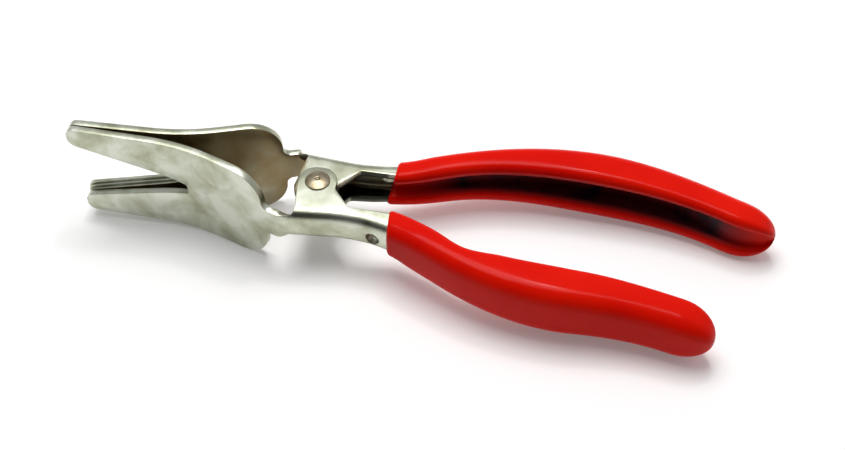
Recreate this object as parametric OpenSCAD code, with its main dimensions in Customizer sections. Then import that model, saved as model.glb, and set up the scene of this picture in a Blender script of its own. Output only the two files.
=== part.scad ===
// Hose removal pliers: two stamped levers that don't cross, joined by one rivet.
// Squeezing the grips spreads the two tall forked jaw plates.
// X runs from the jaw tips to the grips, Y across the tool from the near lever to the far one,
// and Z along the rivet. Lengths are millimetres, and turns are degrees.
// Both levers are drawn as the far one, with its web on the +Y side. The near one is turned over.

/* [Sheet] */
// Thickness of the steel sheet
sheet = 2.4; // [1.8:0.1:3]
// Outer radius of the bends between web and flanges
bend_r = 3.7; // [3:0.1:5]
// Height of the channel, outside its flanges
channel_h = 11.8; // [10.5:0.1:14]

/* [Jaws] */
// Distance from the rivet back to the jaw tips
jaw_reach = 80; // [74:0.5:90]
// Half the height of a jaw plate
jaw_half_h = 18.5; // [16:0.1:22]
// Length of the flat stretch behind the tips
jaw_flat = 26.6; // [20:0.1:32]
// Angle of the flat stretch to the middle plane
jaw_lead = 1.7; // [0.5:0.1:3]
// Length of the stretch that curves away from the middle plane
sweep_len = 20.5; // [14:0.1:26]
// Turn of that stretch
sweep_turn = 17.4; // [10:0.1:22]
// Length of the bend in the neck
neck_len = 5; // [3:0.1:7]
// Turn of that bend, back towards the rivet
neck_turn = 24.6; // [18:0.1:28]
// Half the gap between the two jaw tips at rest
tip_gap = 0.05; // [0.03:0.01:0.3]

/* [Notch] */
// Depth of the V notch, from the tips to its blunt end
notch_depth = 38; // [30:0.1:44]
// Height of a prong at its tip
prong_h = 6.6; // [6:0.1:8.5]
// Half the height of its blunt end
notch_end_half = 2; // [1.4:0.1:3]
// Radius of the outer corner of a prong
prong_outer_r = 2.6; // [1.5:0.1:3]
// Radius of the corner of a prong next to the notch
prong_inner_r = 3; // [1.5:0.1:3]
// Number of layers that the far jaw's notch edges step through, towards the inner face
notch_layers = 3; // [2:1:4]
// Height of each step between them
notch_step = 1.1; // [0.2:0.05:1.3]

/* [Neck] */
// Top of the neck above the middle of the jaw
neck_top = 4.6; // [3.8:0.1:5.2]
// Bottom of the neck below the middle of the jaw
neck_bottom = 5.8; // [4.5:0.1:6.2]

/* [Ears] */
// Distance from the rivet forward to where the inner ears start at the web
ear_front = 6.2; // [5.8:0.1:8]
// Distance by which the outer ears start further back
ear_step = 2; // [0.4:0.1:2.6]
// Radius of the ears round the rivet
ear_r = 6.07; // [5.5:0.05:8]
// Gap between an outer ear and the inner ear that it lies on
ear_gap = 0.1; // [0.05:0.01:0.2]
// Distance from the rivet to the corner where ear and flange meet
ear_corner_x = 11.8; // [10:0.1:15]
// Depth of the flanges at that corner, from the outer face of the web
corner_depth = 6.2; // [5.6:0.1:7.5]

/* [Shanks] */
// Length of the straight shank beside the rivet
shank_len = 11.9; // [10:0.1:16]
// Depth of the flanges behind the ears, from the outer face of the web
flange_depth = 6.8; // [6:0.1:8]
// Depth of the far lever's lower flange where it leaves the ear
far_low_depth = 8; // [7:0.1:8.6]
// Distance behind the rivet of that place
far_low_corner_x = 8.4; // [7.8:0.1:12]
// Distance behind the rivet of the hole in each web
hole_x = 20.1; // [16:0.1:20.6]
// Distance of that hole below the rivet's middle, in the far web
hole_drop = 0.3; // [0:0.1:1]
// Diameter of that hole
hole_d = 4.2; // [2:0.1:4.4]

/* [Handles] */
// Height of the steel channel where the handle is fullest
handle_h = 15; // [13:0.1:18]
// Depth of its flanges there
handle_depth = 10; // [9:0.1:12]
// Depth of the flanges at the end of the steel
handle_end_depth = 8.6; // [7.5:0.1:10]

/* [Near handle] */
// Length of the bend that splays the near handle outwards
near_splay_len = 25; // [20:0.1:28]
// Turn of that bend
near_splay_turn = 30.6; // [24:0.1:34]
// Length of the straight stretch after it
near_run = 14.2; // [8:0.1:20]
// Length of the long curve back towards the middle
near_curl_len = 42.3; // [35:0.1:55]
// Turn of that curve
near_curl_turn = 25.4; // [18:0.1:28]
// Length of the last stretch of steel
near_tail = 28.5; // [20:0.1:40]
// Turn of that stretch, outwards
near_tail_turn = 14; // [6:0.1:16]
// Depth that the flanges of the near handle lose in its waist, behind the front of the grip
near_waist = 1.2; // [0:0.1:2]

/* [Far handle] */
// Length of the bend that splays the far handle outwards
far_splay_len = 26.1; // [20:0.1:30]
// Turn of that bend
far_splay_turn = 24.8; // [18:0.1:30]
// Length of the straight stretch after it
far_run = 5; // [3:0.1:16]
// Length of the long curve back towards the middle
far_curl_len = 95.3; // [80:0.1:105]
// Turn of that curve
far_curl_turn = 42.9; // [32:0.1:48]
// Length of the last stretch of steel
far_tail = 3; // [2:0.1:16]
// Turn of that stretch, outwards
far_tail_turn = 4.1; // [0:0.1:10]

/* [Grips] */
// Distance from the rivet to the front edge of the near grip
near_grip_start = 25; // [24:0.1:30]
// Distance from the rivet to the front edge of the far grip
far_grip_start = 22.1; // [22:0.1:30]
// Slope of that edge, which lies further forward at the bottom
far_grip_slope = 0.2; // [0:0.05:0.4]
// Thickness of the grip's skin
skin = 1.1; // [0.9:0.05:1.4]
// Extra thickness of the skin above and below the steel, along the middle of the grip
skin_belly = 0.9; // [0:0.05:1.2]
// Thickness of the skin on the edges of the flanges
skin_edge = 1.3; // [1.1:0.05:1.6]
// Thickness of the skin on the back of the web where the grip is fullest
skin_back = 2.1; // [1.2:0.05:2.6]
// Thickness of the skin on the back just before the grip's rounded end
skin_end = 1.3; // [0.8:0.05:2]
// Length of the grip past the end of the steel
grip_past = 11; // [9:0.1:13]
// Length of the rounded end of the grip
nose_len = 11; // [7:0.1:11]
// Gap between the steel and the skin of the grip
grip_fit = 0.12; // [0.08:0.01:0.2]

/* [Rivet] */
// Radius of the rivet's shank
rivet_r = 2.5; // [2:0.05:3]
// Radial clearance of the rivet in the far lever's ears
rivet_fit = 0.05; // [0.02:0.01:0.08]
// Gap between the rivet's lower head and the far lever's outer ear
head_gap = 0.05; // [0.02:0.01:0.15]
// Radius of the rivet's heads
head_r = 3.97; // [3.6:0.05:4.6]
// Thickness of a head at its rim
head_rim = 0.4; // [0.2:0.05:0.6]
// Height of a head's dome above its rim
head_dome = 0.9; // [0.6:0.05:1.2]
// Radius of the dimple in the upper head
dimple_r = 0.8; // [0.5:0.05:1.2]
// Depth of that dimple
dimple_depth = 0.4; // [0.2:0.05:0.5]
// Wall of the spacer sleeve round the rivet
sleeve_wall = 1.4; // [1:0.1:1.8]

/* [Hidden] */
$fn = 48;

NEAR = 0;
FAR = 1;
UPPER = 0;
LOWER = 1;

// Heights of the stack of ears: the inner ears end at ear_z, the outer ones start a gap further out
ear_z = (channel_h - sheet - ear_gap) / 2;
outer_face_z = ear_z + ear_gap + sheet;
sleeve_half = ear_z - sheet;
// The far lever's channel, whose lower ear is an outer one
chan_top = ear_z;
chan_bottom = -outer_face_z;

// The outer face of a lever's web as seen from above: stretches of [length, turn to the left],
// carried on one after the other from the jaw tip
start_y = sheet + tip_gap;
jaw_end = along([0, 0, jaw_lead], 0, jaw_flat);
sweep_end = along(jaw_end, sweep_turn / sweep_len, sweep_len);
neck_end = along([0, 0, sweep_end[2]], -neck_turn / neck_len, neck_len);
// The straight flare between sweep and neck takes up what the others leave, so that the ears stay in
// their place round the rivet
flare_len = (jaw_reach - ear_front - sweep_end[0] - neck_end[0]) / cos(sweep_end[2]);
front_path = [
    [jaw_flat, 0],
    [sweep_len, sweep_turn],
    [flare_len, 0],
    [neck_len, -neck_turn],
    [shank_len, 0],
];
near_path = [
    [near_splay_len, near_splay_turn],
    [near_run, 0],
    [near_curl_len, -near_curl_turn],
    [near_tail, near_tail_turn],
];
far_path = [
    [far_splay_len, far_splay_turn],
    [far_run, 0],
    [far_curl_len, -far_curl_turn],
    [far_tail, far_tail_turn],
];
function lever_path(side) = concat(front_path, side == NEAR ? near_path : far_path);
// Number of the stretch at which the flanges start, and how far jaw plate and ears run into them
FLANGES_FROM = 4;
plate_lap = 0.6;
ear_lap = 3;
// How far a cutting solid reaches past what it cuts
cut_past = 1;

// A share t of the way from a to b, and an ease from 0 to 1
function mix(a, b, t) = a + (b - a) * t;
function smooth(t) = let (c = min(max(t, 0), 1)) c * c * (3 - 2 * c);

// Pose [x, y, heading] after a distance s along a stretch that starts at pose p
function along(p, turn_per_mm, s) =
    let (turned = turn_per_mm * s)
    turned == 0
        ? [p[0] + s * cos(p[2]), p[1] + s * sin(p[2]), p[2]]
        : let (r = 180 / PI / turn_per_mm)
          [p[0] + r * (sin(p[2] + turned) - sin(p[2])),
           p[1] - r * (cos(p[2] + turned) - cos(p[2])),
           p[2] + turned];

// Pose at distance s along a whole path
function pose_at(path, s, i = 0, p = [-jaw_reach, start_y, jaw_lead]) =
    s <= path[i][0] || i == len(path) - 1
        ? along(p, path[i][1] / path[i][0], s)
        : pose_at(path, s - path[i][0], i + 1, along(p, path[i][1] / path[i][0], path[i][0]));

function total(path, i = 0, n = 99) = i >= min(n, len(path)) ? 0 : path[i][0] + total(path, i + 1, n);

// Place of a point at distance s along the path, u to its outer side
function beside(pose, u) = [pose[0] - u * sin(pose[2]), pose[1] + u * cos(pose[2])];

// Distances along a path, from s0 to s1, at which its curves are broken into short straights, none
// longer than longest
path_step = 3;
handle_step = 5;
function breaks(path, i, longest) =
    let (
        n = max(1, ceil(abs(path[i][1]) / path_step), ceil(path[i][0] / longest)),
        before = total(path, 0, i)
    )
    [for (k = [1:n]) before + path[i][0] * k / n];
shortest_step = 0.05;
function stations(path, s0, s1, longest) = concat(
    [s0],
    [
        for (i = [0:len(path) - 1])
            each [
                for (s = breaks(path, i, longest))
                    if (s > s0 + shortest_step && s < s1 - shortest_step) s
            ]
    ],
    [s1]
);

// Places a section, whose points are [outer side, up], at distance s along the path. Points with a
// shift lie that much further along.
function placed(section, path, s, shifts = []) = [
    for (i = [0:len(section) - 1])
        let (
            shift = len(shifts) == 0 ? 0 : shifts[i],
            xy = beside(pose_at(path, s + shift), section[i][0])
        )
        [xy[0], xy[1], section[i][1]]
];

// Faces between rings of n points, from ring a to ring b, whose points start at base
function band(n, base, a, b, flip) = [
    for (r = [a:b - 1], i = [0:n - 1])
        let (
            p = base + r * n + i,
            q = base + r * n + (i + 1) % n
        )
        each flip ? [[p, q, p + n], [q, q + n, p + n]] : [[p, p + n, q], [q, p + n, q + n]]
];

// A polygon's corners [x, y, radius], rounded by arcs of steps pieces
function arc_corner(a, b, c, steps) =
    let (
        u = [a[0] - b[0], a[1] - b[1]] / norm([a[0] - b[0], a[1] - b[1]]),
        v = [c[0] - b[0], c[1] - b[1]] / norm([c[0] - b[0], c[1] - b[1]]),
        half = acos(u * v) / 2,
        centre = [b[0], b[1]] + (u + v) / norm(u + v) * b[2] / sin(half),
        from = [b[0], b[1]] + u * b[2] / tan(half) - centre,
        to = [b[0], b[1]] + v * b[2] / tan(half) - centre,
        a0 = atan2(from[1], from[0]),
        raw = atan2(to[1], to[0]) - a0,
        sweep = raw > 180 ? raw - 360 : raw < -180 ? raw + 360 : raw
    )
    [for (k = [0:steps]) centre + b[2] * [cos(a0 + sweep * k / steps), sin(a0 + sweep * k / steps)]];
function rounded(corners, steps = 6) = [
    for (i = [0:len(corners) - 1])
        let (n = len(corners), b = corners[i])
        each b[2] == 0
            ? [[b[0], b[1]]]
            : arc_corner(corners[(i + n - 1) % n], b, corners[(i + 1) % n], steps)
];

// Side view of the jaw and neck, x along the tool and y up. The jaw ends in two large round corners,
// small ones lead on to the neck, and that runs past the rivet, where the sheet's own plan ends it.
// The corners are shares of the heel's drop.
heel_gap = 8.5;
heel_round = 0.8;
neck_round = 0.19;
heel_x = -ear_front - heel_gap;
heel_drop = jaw_half_h - max(neck_top, neck_bottom);
heel_r = heel_round * heel_drop;
neck_r = neck_round * heel_drop;
past_rivet_x = 20;
notch_half = jaw_half_h - prong_h;
notch_end_r = 1.4;
// Corners of the notch, from the lower prong's tip to the upper one's. An inset narrows it evenly,
// and past carries its edges on beyond the tips.
function notch(inset, corner_r, past) =
    let (
        end_half = notch_end_half * (1 - inset / 4),
        slope = (notch_half - notch_end_half) / notch_depth,
        end_x = (notch_half - inset - end_half) / slope - jaw_reach,
        mouth = notch_half - inset + past * slope,
        end_r = min(notch_end_r, end_half)
    )
    [
        [-jaw_reach - past, -mouth, corner_r],
        [end_x, -end_half, end_r],
        [end_x, end_half, end_r],
        [-jaw_reach - past, mouth, corner_r],
    ];
function jaw_outline(inset) = rounded([
    [-jaw_reach, jaw_half_h, prong_outer_r],
    [heel_x, jaw_half_h, heel_r],
    [heel_x, neck_top, neck_r],
    [past_rivet_x, neck_top, 0],
    [past_rivet_x, -neck_bottom, 0],
    [heel_x, -neck_bottom, neck_r],
    [heel_x, -jaw_half_h, heel_r],
    [-jaw_reach, -jaw_half_h, prong_outer_r],
    each notch(inset, prong_inner_r, 0),
]);

module side_cut() {
    rotate([90, 0, 0])
        linear_extrude(jaw_reach, center = true)
            children();
}

// Plan of the jaw plate, or of a layer of it, from u0 to u1 to its outer side
function plate_plan(side, u0, u1) =
    let (
        path = lever_path(side),
        at = stations(path, 0, total(path, 0, FLANGES_FROM) + plate_lap, jaw_reach),
        last = len(at) - 1
    )
    concat(
        [for (s = at) beside(pose_at(path, s), u1)],
        [for (k = [0:last]) beside(pose_at(path, at[last - k]), u0)]
    );

// Fine steps on the far jaw's notch edges, down to the plain notch at the inner face
notch_inset = (notch_layers - 1) * notch_step;
module notch_layer_cut(k) {
    intersection() {
        translate([0, 0, -jaw_half_h])
            linear_extrude(2 * jaw_half_h)
                polygon(plate_plan(FAR, -sheet - cut_past, -k * sheet / notch_layers));
        side_cut()
            polygon(rounded(notch(notch_inset - k * notch_step, 0, 2 * cut_past)));
    }
}

module jaw_plate(side) {
    difference() {
        intersection() {
            translate([0, 0, -jaw_half_h - cut_past])
                linear_extrude(2 * (jaw_half_h + cut_past))
                    polygon(plate_plan(side, -sheet, 0));
            side_cut()
                polygon(jaw_outline(side == FAR ? notch_inset : 0));
        }
        if (side == FAR)
            for (k = [1:notch_layers - 1])
                notch_layer_cut(k);
    }
}

// Share t of the grip's length at a distance along the path, below 0 in front of the grip
function grip_s0(side) = s_at_x(lever_path(side), side == NEAR ? near_grip_start : far_grip_start);
function grip_len(side) = total(lever_path(side)) + grip_past - grip_s0(side);
function share(side, s) = (s - grip_s0(side)) / (grip_len(side) - nose_len);

// The channel starts to deepen, is deepest and is at its full height at these shares
deepen_from = 0.16;
fullest = 0.6;
full_height_at = 0.6;
function fullness(t) = smooth(t / full_height_at);
function chan_top_at(t) = mix(chan_top, handle_h / 2, fullness(t));
function chan_bottom_at(t) = mix(chan_bottom, -handle_h / 2, fullness(t));
function late(t) = smooth((t - fullest) / (1 - fullest));
waist_at = 0.265;
waist_half = 0.14;
function waist(side, t) = side == NEAR ? near_waist * (1 - smooth(abs(t - waist_at) / waist_half)) : 0;
function handle_depth_at(side, t) = t < fullest
    ? mix(flange_depth, handle_depth, smooth((t - deepen_from) / (fullest - deepen_from))) - waist(side, t)
    : mix(handle_depth, handle_end_depth, late(t));

// Depth of a flange at a distance along the path. Behind the ears its edge runs level until it meets
// the handle's depth, which it does before the share level_until. The far lever's lower flange is
// deeper, and narrows to the handle's depth at the grip.
level_until = 0.1;
ear_corner_y = pose_at(front_path, total(front_path, 0, FLANGES_FROM))[1] - corner_depth;
function low_depth_at(x) =
    let (
        x_end = far_grip_start - far_grip_slope * handle_h / 2,
        k = (x - far_low_corner_x) / (x_end - far_low_corner_x)
    )
    mix(far_low_depth, flange_depth, min(max(k, 0), 1));
function depth_at(side, s, flange) =
    let (
        t = share(side, s),
        p = pose_at(lever_path(side), s),
        level = t < level_until ? (p[1] - ear_corner_y) / cos(p[2]) : handle_depth
    )
    side == FAR && flange == LOWER && t < level_until
        ? (t < 0 ? low_depth_at(p[0]) : handle_depth_at(side, t))
        : min(handle_depth_at(side, t), level);

// Section of the channel, a web and two flanges bent from one sheet, as points [outer side, up]
bend_steps = 6;
function bend(r, level, from, to) = [
    for (k = [0:bend_steps])
        let (a = from + (to - from) * k / bend_steps)
        [-bend_r + r * cos(a), level + r * sin(a)]
];
function channel_section(upper_depth, lower_depth, top, bottom) =
    let (high = top - bend_r, low = bottom + bend_r, in_r = bend_r - sheet)
    concat(
        [[-lower_depth, bottom]],
        bend(bend_r, low, 270, 360),
        bend(bend_r, high, 0, 90),
        [[-upper_depth, top], [-upper_depth, top - sheet]],
        bend(in_r, high, 90, 0),
        bend(in_r, low, 360, 270),
        [[-lower_depth, bottom + sheet]]
    );

// Faces that close the end of a channel: each outer point of its section faces an inner one
function c_cap(n, base, flip) = [
    for (i = [0:n / 2 - 2])
        let (a = base + i, b = base + n - 1 - i)
        each flip ? [[a, b, a + 1], [a + 1, b, b - 1]] : [[a, a + 1, b], [a + 1, b - 1, b]]
];

// The outer ear's flange starts further back. The shift grows round its bend, from the edge of the
// neck on, so that the corner between neck and ear is hollow.
function flange_shift(q) =
    let (
        low = chan_bottom + bend_r,
        start = asin((neck_bottom + low) / bend_r),
        turned = q[1] > low ? 0 : q[0] < -bend_r ? 90 : atan2(low - q[1], q[0] + bend_r),
        w = min(max((turned - start) / (90 - start), 0), 1)
    )
    ear_step * sqrt(1 - pow(1 - w, 2));

module channel(side) {
    path = lever_path(side);
    s_front = total(path, 0, FLANGES_FROM);
    rings = [
        for (s = stations(path, s_front, total(path), handle_step))
            let (
                t = share(side, s),
                depths = [for (flange = [UPPER, LOWER]) depth_at(side, s, flange)],
                section = channel_section(depths[0], depths[1], chan_top_at(t), chan_bottom_at(t)),
                shifts = s == s_front ? [for (q = section) flange_shift(q)] : []
            )
            placed(section, path, s, shifts)
    ];
    n = len(rings[0]);
    last = (len(rings) - 1) * n;
    polyhedron(
        [for (ring = rings) each ring],
        concat(band(n, 0, 0, len(rings) - 1, false), c_cap(n, 0, false), c_cap(n, last, true))
    );
}

// Plan of an ear. Its outer border lies inside the flange, and the lower ear, which is the outer one,
// starts a step further back.
ear_border = 0.3;
ear_waist_y = 2.2;
ear_corner_r = 2;
ear_steps = 10;
// The foot, where the ear leaves the front of the web, keeps back by this share of the step, and the
// ear's round corners are at most these shares of its radius and of its width
foot_share = 0.4;
round_share = 0.95;
width_share = 0.47;
function ear_plan(side, flange) =
    let (
        path = lever_path(side),
        step = flange == LOWER ? ear_step : 0,
        low_far = side == FAR && flange == LOWER,
        corner_x = low_far ? far_low_corner_x : ear_corner_x,
        corner_y = low_far ? pose_at(path, s_at_x(path, corner_x))[1] - far_low_depth : ear_corner_y,
        s_front = total(path, 0, FLANGES_FROM),
        front = pose_at(path, s_front),
        bend_start = pose_at(path, total(path, 0, FLANGES_FROM + 1)),
        s_end = s_at_x(path, corner_x + ear_lap),
        end = pose_at(path, s_end),
        border = -bend_r - ear_border,
        top = beside(pose_at(path, s_front + step), border),
        foot_x = beside(front, -(front[1] + ear_r) / cos(front[2]))[0] + foot_share * step,
        ear_round = min(round_share * ear_r, width_share * (ear_r - foot_x)),
        tail = beside(end, -depth_at(side, s_end, flange))
    )
    rounded([
        [top[0], top[1], 0],
        [foot_x, -ear_r, ear_round],
        [ear_r, -ear_r, ear_round],
        [ear_r, ear_waist_y, ear_corner_r],
        [corner_x, corner_y, ear_corner_r],
        [tail[0], tail[1], 0],
        [beside(end, border)[0], beside(end, border)[1], 0],
        [beside(bend_start, border)[0], beside(bend_start, border)[1], 0],
    ], ear_steps);

module ears(side) {
    translate([0, 0, chan_top - sheet])
        linear_extrude(sheet)
            polygon(ear_plan(side, UPPER));
    translate([0, 0, chan_bottom])
        linear_extrude(sheet)
            polygon(ear_plan(side, LOWER));
}

// Distance along the path at which it passes a given x
function s_at_x(path, x, s = 0) = pose_at(path, s)[0] >= x ? s : s_at_x(path, x, s + 0.25);

module web_hole(side) {
    path = lever_path(side);
    p = pose_at(path, s_at_x(path, hole_x));
    translate([p[0], p[1], -hole_drop])
        rotate([0, 0, p[2]])
            rotate([90, 0, 0])
                translate([0, 0, -bend_r])
                    cylinder(d = hole_d, h = 3 * bend_r);
}

module lever(side, bore_r) {
    difference() {
        union() {
            jaw_plate(side);
            channel(side);
            ears(side);
        }
        translate([0, 0, -channel_h])
            cylinder(r = bore_r, h = 2 * channel_h);
        web_hole(side);
    }
}

// Grips. A section is a C, with a back and two lips, whose corners are all round
function arc(centre, r, from, to, steps = bend_steps) = [
    for (k = [0:steps])
        let (a = from + (to - from) * k / steps)
        centre + r * [cos(a), sin(a)]
];
function lip_end(end, mid, r, lip) = concat(
    arc([end + r, mid + lip / 2 - r], r, 90, 180, 2),
    arc([end + r, mid - lip / 2 + r], r, 180, 270, 2)
);
function c_section(out, depth, top, bottom, back, lip, outer_r, inner_r, lip_r) = concat(
    arc([out - outer_r, top - outer_r], outer_r, 0, 90),
    lip_end(out - depth, top - lip / 2, lip_r, lip),
    arc([out - back - inner_r, top - lip - inner_r], inner_r, 90, 0),
    arc([out - back - inner_r, bottom + lip + inner_r], inner_r, 0, -90),
    lip_end(out - depth, bottom + lip / 2, lip_r, lip),
    arc([out - outer_r, bottom + outer_r], outer_r, 270, 360)
);

// Thickness of the skin inside the channel, on its web and on its flanges
skin_web = 0.9;
skin_flange = skin - 0.2;
// The groove between the lips starts to close at groove_end, up to groove_left from the lips' ends
groove_end = 0.8;
groove_left = 3.2;
groove_r = 1;
// How much rounder than the steel's bends the grip's back corners are, at its front and at its
// fullest, the roundness of a lip as a share of its thickness, and the cavity's edge radius
front_rounder = 0.5;
full_rounder = 1.4;
lip_round = 0.49;
cavity_edge_r = 0.1;
// The belly is there in full between belly_from and belly_until, and is gone a belly_fade later
belly_from = 0.12;
belly_until = 0.6;
belly_fade = 0.35;
function side_skin(t) =
    skin + skin_belly * smooth(t / belly_from) * (1 - smooth((t - belly_until) / belly_fade));
function grip_outer(side, t) =
    let (
        out = mix(mix(skin, skin_back, fullness(t)), skin_end, late(t)),
        depth = out + handle_depth_at(side, t) + skin_edge,
        lip = side_skin(t) + sheet + skin_flange,
        closed = smooth((t - groove_end) / (1 - groove_end)),
        back = mix(out + sheet + skin_web, depth - groove_left, closed),
        corner = mix(bend_r + front_rounder, bend_r + full_rounder, fullness(t)),
        top = chan_top_at(t) + side_skin(t),
        bottom = chan_bottom_at(t) - side_skin(t)
    )
    c_section(out, depth, top, bottom, back, lip, corner, groove_r, lip_round * lip);
function grip_cavity(side, t) =
    let (
        depth = handle_depth_at(side, t) + 2 * grip_fit,
        wall = sheet + 2 * grip_fit,
        top = chan_top_at(t) + grip_fit,
        bottom = chan_bottom_at(t) - grip_fit,
        outer_r = bend_r + grip_fit,
        inner_r = bend_r - sheet - grip_fit
    )
    c_section(grip_fit, depth, top, bottom, wall, wall, outer_r, inner_r, cavity_edge_r);

function middle(values) = (max(values) + min(values)) / 2;
function centre_of(section) = [for (i = [0, 1]) middle([for (q = section) q[i]])];
function shrunk(section, f) = let (c = centre_of(section)) [for (q = section) c + f * (q - c)];

// The front of a grip is the level to which it was dipped, a plane nearly square to X. Each point of
// a ring there shifts along the path to lie in that plane, and further on less and less.
dip_fade = 12;
function dip_shifts(section, side, s) =
    let (
        s0 = grip_s0(side),
        turn = pose_at(lever_path(side), s0)[2],
        slope = side == NEAR ? 0 : far_grip_slope,
        fade = max(0, 1 - (s - s0) / dip_fade)
    )
    [for (q = section) (q[0] * tan(turn) + slope * q[1]) * fade];

// Rings of points along the body of the grip, and along its rounded end
skin_rings = 22;
nose_rings = 5;
function nose_place(k) = sin(90 * k / nose_rings);
function nose_size(k) = sqrt(max(0, 1 - pow(nose_place(k), 2)));
function outer_rings(side) =
    let (path = lever_path(side), s0 = grip_s0(side), body = grip_len(side) - nose_len)
    concat(
        [for (k = [0:skin_rings])
            let (section = grip_outer(side, k / skin_rings), s = s0 + body * k / skin_rings)
            placed(section, path, s, dip_shifts(section, side, s))],
        [for (k = [1:nose_rings - 1])
            placed(shrunk(grip_outer(side, 1), nose_size(k)), path, s0 + body + nose_len * nose_place(k))]
    );
function tip_point(side) =
    let (
        path = lever_path(side),
        c = centre_of(grip_outer(side, 1)),
        xy = beside(pose_at(path, grip_s0(side) + grip_len(side)), c[0])
    )
    [xy[0], xy[1], c[1]];
function cavity_rings(side) =
    let (path = lever_path(side))
    [for (s = stations(path, grip_s0(side), total(path) + grip_fit, handle_step))
        let (section = grip_cavity(side, share(side, s)))
        placed(section, path, s, dip_shifts(section, side, s))];

module grip(side) {
    outer = outer_rings(side);
    inner = cavity_rings(side);
    n = len(outer[0]);
    inner_base = len(outer) * n;
    tip = inner_base + len(inner) * n;
    last_outer = (len(outer) - 1) * n;
    last_inner = inner_base + (len(inner) - 1) * n;
    points = concat(
        [for (ring = outer) each ring],
        [for (ring = inner) each ring],
        [tip_point(side)]
    );
    front = [
        for (i = [0:n - 1])
            let (j = (i + 1) % n)
            each [[i, j, inner_base + i], [j, inner_base + j, inner_base + i]]
    ];
    end_cap = [for (i = [0:n - 1]) [last_outer + (i + 1) % n, last_outer + i, tip]];
    steel_end = [[for (i = [0:n - 1]) last_inner + i]];
    polyhedron(points, concat(
        band(n, 0, 0, len(outer) - 1, false),
        band(n, inner_base, 0, len(inner) - 1, true),
        front, end_cap, steel_end
    ));
}

// Turns the far lever's drawing over, which gives the near lever
module turned_over() {
    rotate([180, 0, 0])
        children();
}

// Moves the rivet's middle to its place in the tool's frame, whose origin is the middle of the
// underside of the box round the whole tool
function grip_extent(side, axis) = [for (ring = outer_rings(side)) each [for (p = ring) p[axis]]];
x_max = max(max(grip_extent(NEAR, 0)), max(grip_extent(FAR, 0)), tip_point(NEAR)[0], tip_point(FAR)[0]);
y_max = max(grip_extent(FAR, 1));
y_min = -max(grip_extent(NEAR, 1));
pivot_place = [(jaw_reach - x_max) / 2, -(y_max + y_min) / 2, jaw_half_h];
module in_frame() {
    translate(pivot_place)
        children();
}

steel = "#c9cdc0";
vinyl = "#d81205";
gold = "#d9c49a";

module near_lever() {
    color(steel)
        in_frame()
            turned_over()
                lever(NEAR, rivet_r);
}

module far_lever() {
    color(steel)
        in_frame()
            lever(FAR, rivet_r + rivet_fit);
}

module near_grip() {
    color(vinyl)
        in_frame()
            turned_over()
                grip(NEAR);
}

module far_grip() {
    color(vinyl)
        in_frame()
            grip(FAR);
}

// A head: a thin rim with a low dome, cut from a ball
module rivet_head() {
    ball_r = (head_r * head_r + head_dome * head_dome) / (2 * head_dome);
    cylinder(r = head_r, h = head_rim);
    intersection() {
        translate([0, 0, head_rim + head_dome - ball_r])
            sphere(ball_r, $fn = 96);
        cylinder(r = head_r, h = head_rim + head_dome + cut_past);
    }
}

module pivot_rivet() {
    head_h = head_rim + head_dome;
    skim = 0.01;
    color(gold)
        in_frame()
            difference() {
                union() {
                    translate([0, 0, -outer_face_z - head_gap])
                        cylinder(r = rivet_r, h = 2 * outer_face_z + head_gap);
                    translate([0, 0, outer_face_z])
                        rivet_head();
                    translate([0, 0, -outer_face_z - head_gap])
                        turned_over()
                            rivet_head();
                }
                translate([0, 0, outer_face_z + head_h - dimple_depth])
                    cylinder(r1 = 0, r2 = dimple_r, h = dimple_depth + skim);
            }
}

// The sleeve stands on the near lever's inner ear and stays clear of the far lever's
module spacer_sleeve() {
    color(gold)
        in_frame()
            translate([0, 0, -sleeve_half])
                difference() {
                    cylinder(r = rivet_r + rivet_fit + sleeve_wall, h = 2 * sleeve_half - ear_gap);
                    translate([0, 0, -cut_past])
                        cylinder(r = rivet_r + rivet_fit, h = 2 * (sleeve_half + cut_past));
                }
}

near_lever();
far_lever();
near_grip();
far_grip();
pivot_rivet();
spacer_sleeve();
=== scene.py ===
# %% [markdown]
# # Hose removal pliers
# Two stamped steel levers lie side by side and don't cross. One rivet joins them, and each handle is
# dipped in red vinyl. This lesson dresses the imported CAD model: it draws smooth levers, grips and a
# rivet round the plain solids, and then gives them real finishes, light and a camera.

import math

import bmesh
import bpy
import numpy as np
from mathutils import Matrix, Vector


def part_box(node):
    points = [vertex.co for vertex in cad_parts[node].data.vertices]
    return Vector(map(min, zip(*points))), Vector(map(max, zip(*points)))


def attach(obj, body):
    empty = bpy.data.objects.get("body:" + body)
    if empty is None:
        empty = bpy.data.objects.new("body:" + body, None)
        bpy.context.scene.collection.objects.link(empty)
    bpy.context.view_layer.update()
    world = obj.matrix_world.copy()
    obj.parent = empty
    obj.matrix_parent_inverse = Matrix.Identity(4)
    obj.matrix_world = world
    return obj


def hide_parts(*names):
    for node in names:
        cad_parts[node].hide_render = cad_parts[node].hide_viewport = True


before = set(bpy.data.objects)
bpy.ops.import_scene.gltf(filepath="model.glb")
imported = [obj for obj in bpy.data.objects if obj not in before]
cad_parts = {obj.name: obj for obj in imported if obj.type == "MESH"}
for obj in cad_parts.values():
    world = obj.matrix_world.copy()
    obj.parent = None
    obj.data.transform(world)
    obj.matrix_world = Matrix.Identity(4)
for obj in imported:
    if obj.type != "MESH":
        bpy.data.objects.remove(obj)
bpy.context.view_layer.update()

# %% [markdown]
# All shapes are worked out in millimetres from the rivet's middle, because that is how a toolmaker
# would dimension them. The jaws' reach and height come from the frame's own boxes, so the drawing
# can't slip away from the CAD model. One factor turns millimetres into Blender's metres.

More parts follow.
